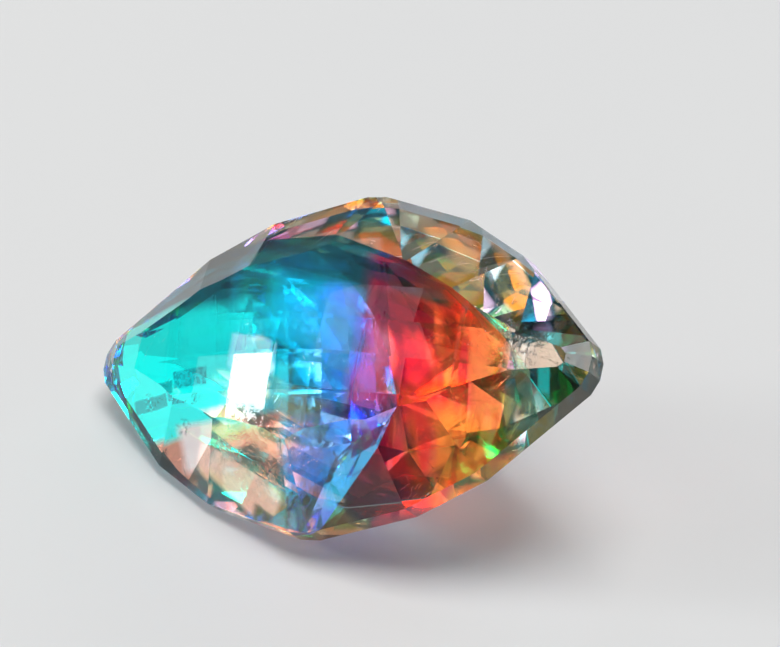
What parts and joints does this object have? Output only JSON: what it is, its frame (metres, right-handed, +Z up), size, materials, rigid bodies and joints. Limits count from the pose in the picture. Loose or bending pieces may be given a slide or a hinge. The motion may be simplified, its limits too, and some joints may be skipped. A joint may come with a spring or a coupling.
{
  "type": "faceted marquise gemstone",
  "caption": "Loose pointed-oval gem, clear with coloured interference planes inside, chequerboard crown and keeled underside, lying on one facet for display or setting.",
  "frame": {"origin": "middle of the stone's bounding box on the surface that it rests on", "axes": "+Z up, +X along the stone's length towards its raised tip, -Y to the side that the crown leans towards"},
  "size_m": [0.0192, 0.01, 0.009],
  "materials": {
    "clear_crystal": "polished clear facets, lightly scratched",
    "blue_plane": "mirror-smooth interference plane, turquoise turning blue and violet",
    "red_plane": "mirror-smooth interference plane, crimson turning orange and green"
  },
  "bodies": {
    "root": {"stone": "clear_crystal"}
  },
  "joints": []
}
